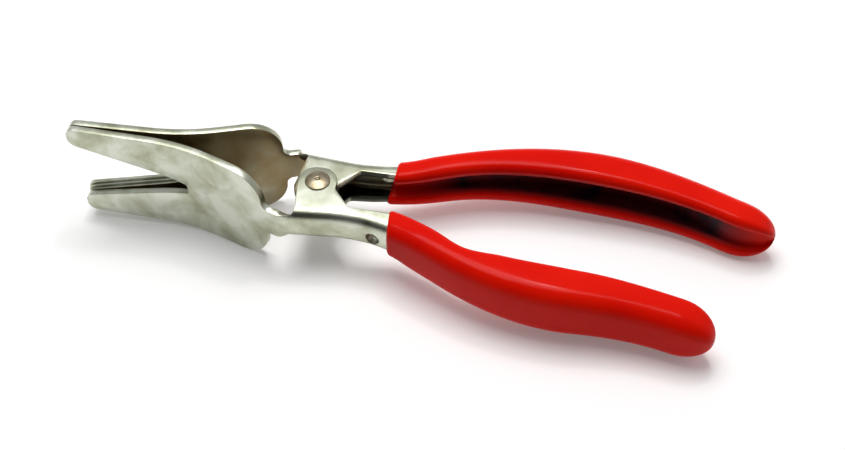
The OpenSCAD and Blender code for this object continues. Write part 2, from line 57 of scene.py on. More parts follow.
# %% Origin and main sizes
MM = 0.001
lever_low, lever_high = (np.array(corner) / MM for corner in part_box("near_lever"))
rivet_low, rivet_high = (np.array(corner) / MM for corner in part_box("pivot_rivet"))
pivot = (rivet_low + rivet_high) / 2
pivot[2] = (lever_low[2] + lever_high[2]) / 2
jaw_half_h = (lever_high[2] - lever_low[2]) / 2
jaw_reach = pivot[0] - lever_low[0]
print("pivot", pivot.round(2), "reach", round(jaw_reach, 2), "half height", round(jaw_half_h, 2))

# %% [markdown]
# Seen from above, the outer face of each lever is one line: stretches of a length and a turn, like
# the bends that a press gives a strip. Stepping along with sines and cosines is exact, and a whole
# array of distances is placed at once.

# %% The line that a lever follows
sheet = 2.4
bend_r = 3.7
channel_h = 11.8
ear_gap = 0.1
tip_gap = 0.05
jaw_lead = 1.7
ear_front = 6.2
ear_step = 2
jaw_stretches = [(26.6, 0), (20.5, 17.4)]
neck_bend = (5, -24.6)
shank = (11.9, 0)
handle_stretches = {
    "near": [(25, 30.6), (14.2, 0), (42.3, -25.4), (28.5, 14)],
    "far": [(26.1, 24.8), (5, 0), (95.3, -42.9), (3, 4.1)],
}


def walk(x, y, heading, bend, distance):
    """End of a walk along an arc that turns by bend per mm: x grows by (sin(end heading) - sin(heading))
    / bend and y falls by the same with cosines. Without a bend it is a straight step."""
    end = heading + bend * distance
    straight = np.abs(bend) < 1e-9
    safe = np.where(straight, 1, bend)
    dx = np.where(straight, distance * np.cos(heading), (np.sin(end) - np.sin(heading)) / safe)
    dy = np.where(straight, distance * np.sin(heading), (np.cos(heading) - np.cos(end)) / safe)
    return x + dx, y + dy, end


def make_path(stretches):
    """Start poses of all stretches, each carried on from the end of the one before."""
    poses = [(-jaw_reach, sheet + tip_gap, math.radians(jaw_lead))]
    bends = []
    for length, turn in stretches:
        bends.append(math.radians(turn) / length)
        poses.append(tuple(float(v) for v in walk(*poses[-1], bends[-1], length)))
    starts = np.concatenate([[0], np.cumsum([length for length, turn in stretches])])
    return {"starts": starts, "bends": np.array(bends), "poses": np.array(poses)}


def pose_at(path, s):
    """x, y and heading at distances s: a walk from the start of the stretch that holds each."""
    s = np.asarray(s, float)
    i = np.clip(np.searchsorted(path["starts"], s, side="right") - 1, 0, len(path["bends"]) - 1)
    x, y, heading = path["poses"][i].T if s.ndim == 1 else np.moveaxis(path["poses"][i], -1, 0)
    return walk(x, y, heading, path["bends"][i], s - path["starts"][i])


def beside(path, s, u):
    """Places at distances s along the path and u to its outer side."""
    x, y, heading = pose_at(path, s)
    return x - u * np.sin(heading), y + u * np.cos(heading)


# The straight flare takes up what the other stretches leave of the way from the tips to the ears
flare_turn = math.radians(jaw_lead + sum(turn for length, turn in jaw_stretches))
before_flare = make_path(jaw_stretches)["poses"][-1]
neck_dx = walk(0, 0, flare_turn, math.radians(neck_bend[1]) / neck_bend[0], neck_bend[0])[0]
flare = (float(-ear_front - before_flare[0] - neck_dx) / math.cos(flare_turn), 0)
front_stretches = jaw_stretches + [flare, neck_bend]
paths = {
    side: make_path(front_stretches + [shank] + handle)
    for side, handle in handle_stretches.items()
}
s_front = sum(length for length, turn in front_stretches)


def s_at_x(path, x):
    """Distance along the path at which it passes x, read off a fine table."""
    table = np.linspace(0, path["starts"][-1], 4000)
    return np.interp(x, pose_at(path, table)[0], table)


for side, path in paths.items():
    print(side, "lever:", round(path["starts"][-1], 1), "mm of steel along its web")

# %% [markdown]
# Every surface here is a grid: an array of rows and columns of points. One helper turns grids into
# faces, and another welds several grids into one mesh. Working on whole arrays keeps this quick.


# %% Grids into meshes
def grid_faces(rows, columns, start=0, closed=False, flip=False):
    """Four-sided faces between neighbouring rows and columns. A closed grid joins its last column
    to its first."""
    i = np.arange(rows - 1)[:, None]
    j = np.arange(columns if closed else columns - 1)[None, :]
    k = (j + 1) % columns
    corners = [i * columns + j, (i + 1) * columns + j, (i + 1) * columns + k, i * columns + k]
    faces = np.stack(corners[::-1] if flip else corners, -1).reshape(-1, 4)
    return faces + start


def make_piece(name, points, faces, turned=False):
    """A mesh from points in millimetres round the rivet. The near lever and its grip are the far
    ones turned over about X, which is y and z with their signs changed."""
    points = np.asarray(points, float) * ([1, -1, -1] if turned else [1, 1, 1])
    mesh = bpy.data.meshes.new(name)
    mesh.from_pydata(((points + pivot) * MM).tolist(), [], [tuple(face) for face in faces])
    mesh.validate()
    piece = bpy.data.objects.new(name, mesh)
    bpy.context.collection.objects.link(piece)
    return piece


def weld(piece, distance=1e-6):
    """Merges the points that neighbouring grids share."""
    work = bmesh.new()
    work.from_mesh(piece.data)
    bmesh.ops.remove_doubles(work, verts=work.verts, dist=distance)
    work.to_mesh(piece.data)
    work.free()


def bake_modifiers(piece):
    """Turns what the modifiers make into the mesh itself."""
    graph = bpy.context.evaluated_depsgraph_get()
    made = bpy.data.meshes.new_from_object(piece.evaluated_get(graph))
    piece.modifiers.clear()
    piece.data = made


def smooth_shading(piece, angle=35):
    """Shades faces as one curved surface wherever they meet at less than this angle."""
    piece.data.shade_smooth()
    with bpy.context.temp_override(object=piece, active_object=piece, selected_objects=[piece],
                                   selected_editable_objects=[piece]):
        bpy.ops.object.shade_smooth_by_angle(angle=math.radians(angle))


# %% [markdown]
# The jaw is a plate whose outline has round corners. Drawing it as corners with radii, as on a
# drawing sheet, gives few numbers to keep. Between the notch edge and the outer edge the plate is
# ruled with straight lines, which is exact because the sheet is only bent along its length.

# %% Outline of the jaw plate
prong_h = 6.6
notch_depth = 38
notch_end_half = 2
notch_layers = 3
notch_step = 1.1
prong_outer_r = 2.6
prong_inner_r = 3
notch_half = jaw_half_h - prong_h
# Height of the neck's edge in the upper (1) and the lower (-1) half
neck_z = {1: 4.6, -1: 5.8}
# The jaw ends in large round heels, and small hollow corners lead on to the neck
heel_x = -ear_front - 8.5
heel_drop = jaw_half_h - max(neck_z.values())
heel_r = 0.8 * heel_drop
neck_r = 0.19 * heel_drop


def round_corner(a, b, c, radius, steps):
    """Arc that rounds the corner b between a and c. It touches both sides at radius / tan(half the
    angle) from the corner, and its centre lies on the line that halves the angle."""
    a, b, c = (np.array(p, float) for p in (a, b, c))
    u = (a - b) / np.linalg.norm(a - b)
    v = (c - b) / np.linalg.norm(c - b)
    half = math.acos(np.clip(u @ v, -1, 1)) / 2
    centre = b + (u + v) / np.linalg.norm(u + v) * radius / math.sin(half)
    first, last = (b + side * radius / math.tan(half) - centre for side in (u, v))
    start = math.atan2(first[1], first[0])
    sweep = (math.atan2(last[1], last[0]) - start + math.pi) % (2 * math.pi) - math.pi
    angles = start + sweep * np.linspace(0, 1, steps)
    return centre + radius * np.stack([np.cos(angles), np.sin(angles)], 1)


def between(a, b, count):
    """Points on the straight way from a to b, with both ends left out."""
    return np.linspace(a, b, count + 2)[1:-1]


def notch_border(inset, corner_steps=7, straight_steps=14, end_steps=6):
    """Upper edge of the notch as seen from the side, from the tip's corner to the middle of its end."""
    end_half = notch_end_half * (1 - inset / 4)
    slope = (notch_half - notch_end_half) / notch_depth
    end_x = (notch_half - inset - end_half) / slope - jaw_reach
    mouth = (-jaw_reach, notch_half - inset)
    end = (end_x, end_half)
    tip = round_corner((-jaw_reach, jaw_half_h), mouth, end, prong_inner_r, corner_steps)
    blunt = round_corner(mouth, end, (end_x, 0), min(1.4, end_half), end_steps)
    return np.concatenate([tip, between(tip[-1], blunt[0], straight_steps), blunt, [[end_x, 0]]])


def outer_border(half, end_x):
    """Outer border of one half, from the tip's corner to the neck. It has as many points beside the
    notch as the notch's own border."""
    neck = (heel_x, neck_z[half])
    corner = round_corner((-jaw_reach, 0), (-jaw_reach, jaw_half_h), (0, jaw_half_h), prong_outer_r, 7)
    heel = round_corner((-jaw_reach, jaw_half_h), (heel_x, jaw_half_h), neck, heel_r, 18)
    throat = round_corner((heel_x, jaw_half_h), neck, (0, neck_z[half]), neck_r, 8)
    opposite = np.array([end_x - 1, jaw_half_h]), np.array([end_x + 5, jaw_half_h])
    return np.concatenate([
        corner, between(corner[-1], opposite[0], 14), np.linspace(*opposite, 7),
        between(opposite[1], heel[0], 8), heel, between(heel[-1], throat[0], 1), throat,
    ])


def jaw_borders(half):
    """Inner and outer border of one half of the plate, matched point by point. Behind the notch the
    inner border is the seam, whose points both halves share."""
    notch = notch_border(0)
    end_x = notch[-1, 0]
    outer = outer_border(half, end_x)
    seam = np.linspace(end_x, heel_x + neck_r, len(outer) - len(notch) + 1)[1:]
    inner = np.concatenate([notch, np.stack([seam, 0 * seam], 1)])
    return inner, outer


for half in neck_z:
    inner, outer = jaw_borders(half)
    print("half", half, "of the jaw plate:", inner.shape, outer.shape, "border points")

# %% [markdown]
# Behind the ears the sheet is a channel: a web with two flanges, bent round a radius of 3.7 mm. A point
# of the sheet is named by its distance along the lever and its distance across the sheet from the
# middle. The same formula then gives the flat jaw, the half-bent neck and the channel.

# %% Cross-section of the sheet
flange_depth = 6.8
corner_depth = 6.2
handle_h = 15
handle_depth = 10
handle_end_depth = 8.6
grip_x = {"near": 25, "far": 22.1}
waist_depth = {"near": 1.2, "far": 0}
waist_at = 0.265
waist_half = 0.14
grip_past = 11
nose_len = 11
deepen_from = 0.16
fullest = 0.6
inner_face_z = (channel_h - sheet - ear_gap) / 2
outer_face_z = inner_face_z + ear_gap + sheet
face_z = {1: inner_face_z, -1: outer_face_z}
neck_bend_span = 4


def ease(t):
    """Smooth step from 0 to 1: 3 t^2 - 2 t^3."""
    t = np.clip(t, 0, 1)
    return t * t * (3 - 2 * t)


def mix(a, b, t):
    return a + (b - a) * t


def grip_span(side):
    """Distance along the lever at which the grip starts, and the grip's length."""
    start = float(s_at_x(paths[side], grip_x[side]))
    return start, paths[side]["starts"][-1] + grip_past - start


def share(side, s):
    """Share of the grip's straight part that lies before s."""
    start, length = grip_span(side)
    return (s - start) / (length - nose_len)


def face_height(half, t):
    """Height of a flange's outer face above or below the middle plane."""
    return mix(face_z[half], handle_h / 2, ease(t / fullest))


def flange_depth_at(side, t):
    """Depth of the flanges: a waist, and then they deepen until the handle is fullest and taper a little."""
    growing = mix(flange_depth, handle_depth, ease((t - deepen_from) / (fullest - deepen_from)))
    growing = growing - waist_depth[side] * (1 - ease(np.abs(t - waist_at) / waist_half))
    late = ease((t - fullest) / (1 - fullest))
    return np.where(t < fullest, growing, mix(handle_depth, handle_end_depth, late))


front_y = float(pose_at(paths["far"], np.array([s_front]))[1][0])
ear_corner_y = front_y - corner_depth
level_until = 0.1
far_low_depth = 8
far_low_corner_x = 8.4
dip_slope = {"near": 0, "far": 0.2}
far_low_end_x = grip_x["far"] - dip_slope["far"] * handle_h / 2


def steel_depth(side, half, s):
    """Depth of a flange from the web's outer face. Its edge is level behind the ears until it meets the
    handle's depth, but the far lever's lower flange is deeper and narrows to the handle's depth."""
    x, y, heading = pose_at(paths[side], s)
    t = share(side, s)
    handle = flange_depth_at(side, t)
    if side == "far" and half < 0:
        low = np.interp(x, [far_low_corner_x, far_low_end_x], [far_low_depth, flange_depth])
        return np.where(t < 0, low, handle)
    level = np.where(t < level_until, (y - ear_corner_y) / np.cos(heading), handle_depth)
    return np.minimum(handle, level)


def sheet_point(side, half, s, w):
    """Point of the sheet's outer face. Up to the flat half-width it stands upright, and then it goes
    round the bend: u = -R (1 - cos a) and z = flat + R sin a, with a = (w - flat) / R. In the neck
    R is large and shrinks to the bend radius."""
    path = paths[side]
    flat = face_height(half, share(side, s)) - bend_r
    closed = np.maximum(ease((s - s_front + neck_bend_span) / neck_bend_span), 1e-3)
    radius = bend_r / closed
    angle = np.clip((w - flat) / radius, 0, math.pi / 2)
    beyond = np.maximum(w - flat - radius * math.pi / 2, 0)
    x, y = beside(path, s, -radius * (1 - np.cos(angle)) - beyond)
    z = np.minimum(w, flat) + radius * np.sin(angle)
    return np.stack([x, y, half * z], -1)


print("web edge", round(inner_face_z - bend_r, 2), "outer ear face", round(outer_face_z, 2))

# %% [markdown]
# The ears are the flanges' round ends, which lie on each other round the rivet. Their outline is
# drawn from above as corners with radii too, and ruled to the line where the bend ends.

# %% Outline of an ear
ear_r = 6.07
ear_corner_x = 11.8
ear_waist_y = 2.2
ear_lap = 3
ear_columns = 60
bend_rows = {1: 9, -1: 13}


def spread(points, count):
    """Evenly spaced points on a chain, read off its running length."""
    steps = np.linalg.norm(np.diff(points, axis=0), axis=1)
    run = np.concatenate([[0], np.cumsum(steps)])
    even = np.linspace(0, run[-1], count)
    return np.stack([np.interp(even, run, points[:, k]) for k in range(2)], 1)


def ear_border(side, half):
    """Edge of the ear from its front foot round the rivet to the flange behind it. The lower ear is the
    outer one, which starts further back."""
    path = paths[side]
    step = ear_step if half < 0 else 0
    front = pose_at(path, np.array([s_front]))
    heading = float(front[2][0])
    foot_x = float(front[0][0]) + math.tan(heading) * (front_y + ear_r) + 0.4 * step
    foot = (foot_x, -ear_r)
    ear_round = min(0.95 * ear_r, 0.47 * (ear_r - foot_x))
    top = np.array(beside(path, np.array([s_front + step]), -bend_r)).T[0]
    s_end = float(s_at_x(path, ear_corner_x + ear_lap))
    tail = np.array(beside(path, np.array([s_end]), -steel_depth(side, half, np.array([s_end])))).T[0]
    corner = (ear_corner_x, ear_corner_y)
    if side == "far" and half < 0:
        web_y = float(pose_at(path, s_at_x(path, np.array([far_low_corner_x])))[1][0])
        corner = (far_low_corner_x, web_y - far_low_depth)
    corners = [top, foot, (ear_r, -ear_r), (ear_r, ear_waist_y), corner, tail]
    radii = [0, ear_round, ear_round, 2, 2, 0]
    chain = [
        round_corner(corners[k - 1], corners[k], corners[k + 1], radii[k], 12) for k in range(1, 5)
    ]
    # Columns in front of the ear's waist belong to its round part, and the others to the edge behind
    column_s = np.linspace(s_front + step, s_end, ear_columns)
    round_part = int(np.sum(beside(path, column_s, -bend_r)[0] < ear_r))
    waist_mid = len(chain[2]) // 2
    before = np.concatenate(chain[:2] + [chain[2][:waist_mid + 1]])
    after = np.concatenate([chain[2][waist_mid:], chain[3], [tail]])
    border = [spread(before, round_part), spread(after, ear_columns - round_part + 1)[1:]]
    return np.concatenate(border), s_end


border, ear_end = ear_border("far", 1)
print("ear border from", border[0].round(2), "to", border[-1].round(2), "at", round(ear_end, 1), "mm")

# %% [markdown]
# A lever is welded from strips of one sheet: two halves of the jaw and web, then the bends, and then
# the ears and flanges. Blender's Solidify gives it its thickness inwards, and a Bevel rounds the
# stamped edges so that they catch the light. The bore and the round hole are cut after that.

# %% Strips of a lever
JAW_ROWS = np.array([0, 0.33, 0.4, 0.45, 0.5, 0.55, 0.6, 0.67, 1])
handle_spacing = 1.2


def lever_stations(side):
    """Distances along the lever of the columns behind its front edge: close at the ears, then wider."""
    ear_s = np.linspace(s_front, ear_border(side, 1)[1], ear_columns)
    total = paths[side]["starts"][-1]
    count = int((total - ear_s[-1]) / handle_spacing)
    return np.concatenate([ear_s, np.linspace(ear_s[-1], total, count)[1:]])


def core_strip(side, half):
    """Web from the middle outwards: the jaw's ruled plate, the neck, and the first part of the bend."""
    path = paths[side]
    inner, outer = jaw_borders(half)
    s_in, s_out = s_at_x(path, inner[:, 0]), s_at_x(path, outer[:, 0])
    neck_s = between(s_in[-1], s_front, 9)
    back_s = np.concatenate([neck_s, lever_stations(side)])
    flat = face_height(half, share(side, back_s)) - bend_r
    in_bend = neck_z[half] - (face_z[half] - bend_r)
    s_in = np.concatenate([s_in, back_s])
    s_out = np.concatenate([s_out, back_s])
    w_in = np.concatenate([inner[:, 1], np.zeros(len(back_s))])
    w_out = np.concatenate([outer[:, 1], flat + in_bend])
    channel_rows = np.concatenate([
        np.full(len(outer), face_z[half] - bend_r) / neck_z[half], flat / (flat + in_bend),
    ])
    bent = ease((s_in - s_in[len(outer) - 1]) / 3)[:, None]
    rows = np.linspace(0, 1, len(JAW_ROWS) - 1)
    channel_t = np.concatenate([np.zeros((len(s_out), 1)), mix(channel_rows[:, None], 1, rows)], 1)
    t = mix(JAW_ROWS[None, :], channel_t, bent)
    return sheet_point(side, half, mix(s_in[:, None], s_out[:, None], t), mix(w_in[:, None], w_out[:, None], t))


def flange_strip(side, half, flat_rows=5):
    """Rest of the bend, and the flat ear or flange beyond it. The front of the outer ear stands back by
    ear_step * sqrt(1 - (1 - t)^2), t being the share of this bend, which rounds the corner at the neck."""
    s = lever_stations(side)
    flat = face_height(half, share(side, s)) - bend_r
    in_bend = neck_z[half] - (face_z[half] - bend_r)
    border, ear_end = ear_border(side, half)
    bend_share = np.linspace(0, 1, bend_rows[half])
    w = mix(in_bend, bend_r * math.pi / 2, bend_share)
    step = ear_step if half < 0 else 0
    set_back = step * np.sqrt(1 - (1 - bend_share) ** 2)
    ahead = np.maximum(1 - (s - s_front) / (ear_end - s_front), 0)
    bend = sheet_point(side, half, s[:, None] + ahead[:, None] * set_back, flat[:, None] + w)
    behind = s[ear_columns:]
    edge = np.stack(beside(paths[side], behind, -steel_depth(side, half, behind)), 1)
    edge = np.concatenate([border, edge])
    edge = np.concatenate([edge, bend[:, -1, 2:]], 1)
    t = np.linspace(0, 1, flat_rows)[None, 1:, None]
    return np.concatenate([bend, mix(bend[:, -1:, :], edge[:, None, :], t)], 1)


def lever_grids(side):
    for half in (1, -1):
        yield half, core_strip(side, half)
        yield half, flange_strip(side, half)


def join_grids(grids):
    """Points and faces of several grids in one list. Upper halves run the other way round."""
    points, faces, start = [], [], 0
    for half, grid in grids:
        rows, columns = grid.shape[:2]
        points.append(grid.reshape(-1, 3))
        faces.append(grid_faces(rows, columns, start, flip=half > 0))
        start += rows * columns
    return np.concatenate(points), np.concatenate(faces)


# %% Thickness, holes and rounded edges
hole_x = 20.1
hole_drop = 0.3
hole_d = 4.2
hole_edge_r = 0.5
rivet_r = 2.5
rivet_fit = 0.05
edge_r = 0.2


def cutter(name, outlines, depths, base, axes, turned):
    """Closed solid that carries outlines of equal count along the third axis, one at each depth."""
    count = outlines[0].shape[0]
    rings = [
        base + outline @ np.array(axes[:2]) + depth * np.array(axes[2])
        for outline, depth in zip(outlines, depths)
    ]
    faces = [tuple(face) for face in grid_faces(len(rings), count, closed=True, flip=True)]
    ends = [tuple(range(count))[::-1], tuple(range((len(rings) - 1) * count, len(rings) * count))]
    return make_piece(name, np.concatenate(rings), faces + ends, turned)


def cut(piece, tool):
    """Takes the tool's shape out of the piece and deletes the tool."""
    step = piece.modifiers.new("cut", "BOOLEAN")
    step.operation = "DIFFERENCE"
    step.solver = "EXACT"
    step.object = tool
    bake_modifiers(piece)
    bpy.data.objects.remove(tool)


def circle(radius, count=40):
    angles = np.linspace(0, 2 * math.pi, count, endpoint=False)
    return radius * np.stack([np.cos(angles), np.sin(angles)], 1)


def hole_outline(growth):
    """A circle, grown evenly on all sides."""
    return circle(hole_d / 2 + growth, 32)


def round_edges(piece, width):
    """Bevels every edge where faces meet at more than 40 degrees."""
    step = piece.modifiers.new("edges", "BEVEL")
    step.width = width * MM
    step.segments = 2
    step.limit_method = "ANGLE"
    step.angle_limit = math.radians(40)
    step.use_clamp_overlap = False
    bake_modifiers(piece)


def make_lever(side, bore_r):
    turned = side == "near"
    points, faces = join_grids(lever_grids(side))
    lever = make_piece(side + "_lever_steel", points, faces, turned)
    weld(lever)
    step = lever.modifiers.new("sheet", "SOLIDIFY")
    step.thickness = sheet * MM
    step.offset = -1
    step.use_even_offset = True
    step.use_quality_normals = True
    bake_modifiers(lever)
    round_edges(lever, edge_r)
    cut(lever, cutter("bore", [circle(bore_r)] * 2, [-channel_h, channel_h], np.zeros(3), np.eye(3), turned))
    s = np.array([float(s_at_x(paths[side], hole_x))])
    x, y, heading = (float(v[0]) for v in pose_at(paths[side], s))
    along = np.array([math.cos(heading), math.sin(heading), 0])
    outward = np.array([-math.sin(heading), math.cos(heading), 0])
    # The punch has drawn the hole's outer edge in, round a quarter circle
    drawn = hole_edge_r * (1 - np.cos(np.linspace(0, math.pi / 2, 5)))
    growth = hole_edge_r - np.sqrt(hole_edge_r ** 2 - (hole_edge_r - drawn) ** 2)
    depths = np.concatenate([[-bend_r], -drawn[::-1], [bend_r]])
    outlines = [hole_outline(g) for g in np.concatenate([[0], growth[::-1], growth[:1]])]
    base = np.array([x, y, -hole_drop])
    cut(lever, cutter("hole", outlines, depths, base, [along, (0, 0, -1), outward], turned))
    return lever


levers = {"near": make_lever("near", rivet_r), "far": make_lever("far", rivet_r + rivet_fit)}


# %% [markdown]
# The far jaw's notch edge is stepped: its outer layers stand further into the notch than its inner
# one. Each step is a narrow ledge, ruled between two copies of the notch border, and welded on.


# %% Ledges in the far jaw's notch
ledge_edge_r = 0.12


def ledge_points(layer):
    """One layer's ledge as a closed band of four long edges along the notch border."""
    path = paths["far"]
    depth = sheet / notch_layers
    grids = []
    inset = (notch_layers - 1 - layer) * notch_step
    root, lip = notch_border(-0.4), notch_border(inset)
    for half in (1, -1):
        corners = []
        for border, u in ((root, 0), (lip, 0), (lip, -depth), (root, -depth)):
            s = s_at_x(path, border[:, 0])
            x, y = beside(path, s, u - layer * depth)
            corners.append(np.stack([x, y, half * border[:, 1]], 1))
        grids.append((half, np.stack(corners, 1)))
    return grids


def add_ledge(layer):
    points, faces, start = [], [], 0
    for half, grid in ledge_points(layer):
        rows = len(grid)
        points.append(grid.reshape(-1, 3))
        faces += [tuple(face) for face in grid_faces(rows, 4, start, closed=True, flip=half < 0)]
        cap = tuple(start + k for k in range(4))
        faces.append(cap if half > 0 else cap[::-1])
        start += rows * 4
    ledge = make_piece("ledge", np.concatenate(points), faces)
    weld(ledge)
    round_edges(ledge, ledge_edge_r)
    return ledge


def join(piece, others):
    """Adds other meshes to a piece as they are."""
    work = bmesh.new()
    work.from_mesh(piece.data)
    for other in others:
        work.from_mesh(other.data)
        bpy.data.objects.remove(other)
    bmesh.ops.recalc_face_normals(work, faces=work.faces)
    work.to_mesh(piece.data)
    work.free()


join(levers["far"], [add_ledge(layer) for layer in range(notch_layers - 1)])


def mark_inner(side, lever):
    """Point attributes for painted shade. inner is 1 on the sheet's inner face, which lies the sheet's thickness inside
    the line of its outer face, and between the flanges where there are any; the material shades it olive-brown.
    The second attribute, the channel's near-black painted shade, is 1 on the flanges' inner faces behind
    the rivet, and less on their edges and on the web between them."""
    points = np.empty(len(lever.data.vertices) * 3)
    lever.data.vertices.foreach_get("co", points)
    x, y, z = ((points.reshape(-1, 3) / MM - pivot) * ([1, -1, -1] if side == "near" else [1, 1, 1])).T
    s = s_at_x(paths[side], x)
    web = pose_at(paths[side], s)
    depth = (y - web[1]) * np.cos(web[2])
    inside = depth < -0.95 * sheet
    between_flanges = (z < inner_face_z - sheet / 2) & (z > sheet / 2 - outer_face_z)
    hole_s = float(s_at_x(paths[side], hole_x))
    away = np.hypot(s - hole_s, z + hole_drop) > hole_d / 2 + 2 * edge_r
    inner = inside & away & (between_flanges | (x < -ear_front))
    layer = lever.data.attributes.new("inner", "FLOAT", "POINT")
    layer.data.foreach_set("value", inner.astype(np.float32))
    t = share(side, s)
    below = np.where(z > 0, face_height(1, t), face_height(-1, t)) - np.abs(z)
    on_flange = (x > ear_front) & (depth < -bend_r) & (below > sheet / 2) & (below < sheet + 0.3)
    edge = np.where(z > 0, steel_depth(side, 1, s), steel_depth(side, -1, s))
    on_edge = (x > ear_front) & (np.abs(depth + edge) < 0.15) & (below > edge_r / 2)
    on_web = (x > ear_front) & inner
    # Painted shade: the channel's inner faces, rims and web are marked to be coloured near-black.
    layer = lever.data.attributes.new("channel_shade", "FLOAT", "POINT")
    layer.data.foreach_set("value", np.maximum(np.where(on_flange, 1, 0.8 * on_edge), 0.25 * on_web).astype(np.float32))


for side, lever in levers.items():
    mark_inner(side, lever)
    smooth_shading(lever)
    print(lever.name, len(lever.data.polygons), "faces")

# %% [markdown]
# Each grip is one coat of vinyl, so its section is a C that wraps the channel: a back, two lips and
# a groove between them. The section is a function of the share of the length, and the rings of all
# sections are worked out at once. The outer rings close in a round nose, and a second set of rings
# makes the hollow that the steel fills.

# %% Section of a grip
skin = 1.1
skin_edge = 1.3
skin_back = 2.06
skin_end = 1.25
skin_web = 0.9
skin_flange = skin - 0.2
skin_belly = 0.9
belly_from = 0.12
belly_until = 0.6
belly_fade = 0.35
grip_fit = 0.12
groove_end = 0.8
groove_left = 3.2
groove_r = 1
corner_steps = 12


def arc_rows(u, z, radius, start, stop, steps):
    """Arc round (u, z) for every ring at once: centre + radius (cos a, sin a)."""
    angles = np.radians(np.linspace(start, stop, steps + 1))[None, :]
    u, z, radius = (np.broadcast_to(np.asarray(v, float), u.shape)[:, None] for v in (u, z, radius))
    return np.stack([u + radius * np.cos(angles), z + radius * np.sin(angles)], -1)


def lip_rows(end, middle, radius, lip):
    """Rounded end of a lip, from its top to its underside."""
    return [
        arc_rows(end + radius, middle + lip / 2 - radius, radius, 90, 180, 4),
        arc_rows(end + radius, middle - lip / 2 + radius, radius, 180, 270, 4),
    ]


def c_section(out, depth, top, bottom, back, lip, outer_r, inner_r, lip_r):
    """Closed C-shaped ring: outer corner, upper lip, inner corners, lower lip, outer corner."""
    return np.concatenate([
        arc_rows(out - outer_r, top - outer_r, outer_r, 0, 90, corner_steps),
        *lip_rows(out - depth, top - lip / 2, lip_r, lip),
        arc_rows(out - back - inner_r, top - lip - inner_r, inner_r, 90, 0, corner_steps),
        arc_rows(out - back - inner_r, bottom + lip + inner_r, inner_r, 0, -90, corner_steps),
        *lip_rows(out - depth, bottom + lip / 2, lip_r, lip),
        arc_rows(out - outer_r, bottom + outer_r, outer_r, 270, 360, corner_steps),
    ], 1)


def side_skin(t):
    """Thickness of the coat above and below the steel, which has a belly in the middle of the grip."""
    return skin + skin_belly * ease(t / belly_from) * (1 - ease((t - belly_until) / belly_fade))


def skin_section(side, t, coat):
    """Outside of the coat at shares t. Coat runs from 0 at the dip line to 1 where it has full thickness."""
    full = ease(t / fullest)
    late = ease((t - fullest) / (1 - fullest))
    thin = mix(0.3, 1, coat)
    out = mix(mix(skin, skin_back, full), skin_end, late) * thin
    depth = out + flange_depth_at(side, t) + skin_edge * thin
    lip = sheet + (side_skin(t) + skin_flange) * thin
    closed = ease((t - groove_end) / (1 - groove_end))
    back = mix(out + sheet + skin_web * thin, depth - groove_left, closed)
    corner = mix(bend_r + 0.5, bend_r + 1.4, full)
    top = face_height(1, t) + side_skin(t) * thin
    bottom = -face_height(-1, t) - side_skin(t) * thin
    return c_section(out, depth, top, bottom, back, lip, corner, groove_r, 0.49 * lip)


def hollow_section(side, t):
    """The channel's section with a small gap all round."""
    gap = grip_fit
    out = gap + 0 * t
    wall = sheet + 2 * gap + 0 * t
    depth = flange_depth_at(side, t) + 2 * gap
    top, bottom = face_height(1, t) + gap, -face_height(-1, t) - gap
    return c_section(out, depth, top, bottom, wall, wall, bend_r + gap, bend_r - sheet - gap, 0.1)


# %% Rings of a grip
ring_spacing = 1.2
front_round = 1.3
nose_rings = 12
dip_fade = 12


def place_rings(side, s, sections):
    """Carries sections, whose points are (outer side u, up z), to distances s along the lever. The dip
    line is level, so there each point moves on by u tan(heading) + slope z, and further back by less."""
    u, z = sections[..., 0], sections[..., 1]
    start = grip_span(side)[0]
    turn = float(pose_at(paths[side], np.array([start]))[2][0])
    fade = np.maximum(1 - (s - start) / dip_fade, 0)[:, None]
    x, y = beside(paths[side], s[:, None] + (u * math.tan(turn) + dip_slope[side] * z) * fade, u)
    return np.stack([x, y, z], -1)


def shrunk(section, size):
    """Section drawn in towards the middle of its box by each of the given sizes."""
    low, high = section.min(1, keepdims=True), section.max(1, keepdims=True)
    middle = (low + high) / 2
    return middle + (section - middle) * size[:, None, None]


def outer_rings(side):
    start, length = grip_span(side)
    body = length - nose_len
    dip = front_round * (1 - np.cos(np.linspace(0, math.pi / 2, 6)))
    s = np.concatenate([dip, np.linspace(front_round, body, int(body / ring_spacing))[1:]])
    coat = np.sqrt(np.clip(1 - (1 - np.minimum(s / front_round, 1)) ** 2, 0, 1))
    rings = place_rings(side, start + s, skin_section(side, s / body, coat))
    place = np.sin(np.linspace(0, math.pi / 2, nose_rings + 1))[1:-1]
    last = skin_section(side, np.ones(len(place)), np.ones(len(place)))
    nose = place_rings(side, start + body + nose_len * place, shrunk(last, np.sqrt(1 - place ** 2)))
    tip = place_rings(side, np.array([start + length]), shrunk(last[:1], np.zeros(1)))[0, 0]
    return np.concatenate([rings, nose]), tip


def inner_rings(side):
    start, length = grip_span(side)
    steel = paths[side]["starts"][-1] + grip_fit - start
    s = start + np.linspace(0, steel, int(steel / ring_spacing / 2))
    return place_rings(side, s, hollow_section(side, share(side, s)))


def make_grip(side):
    outer, tip = outer_rings(side)
    inner = inner_rings(side)
    count = outer.shape[1]
    inner_start = outer.shape[0] * count
    points = np.concatenate([outer.reshape(-1, 3), inner.reshape(-1, 3), [tip]])
    faces = [tuple(face) for face in grid_faces(len(outer), count, 0, closed=True, flip=True)]
    faces += [tuple(face) for face in grid_faces(len(inner), count, inner_start, closed=True)]
    ring = np.arange(count)
    following = (ring + 1) % count
    last = inner_start - count
    steel_end = inner_start + (len(inner) - 1) * count
    faces += list(zip(ring, following, inner_start + following, inner_start + ring))
    faces += list(zip(last + following, last + ring, np.full(count, len(points) - 1)))
    faces.append(tuple(steel_end + ring[::-1]))
    grip = make_piece(side + "_grip_vinyl", points, faces, side == "near")
    mark_groove(grip, outer, inner, count)
    return grip
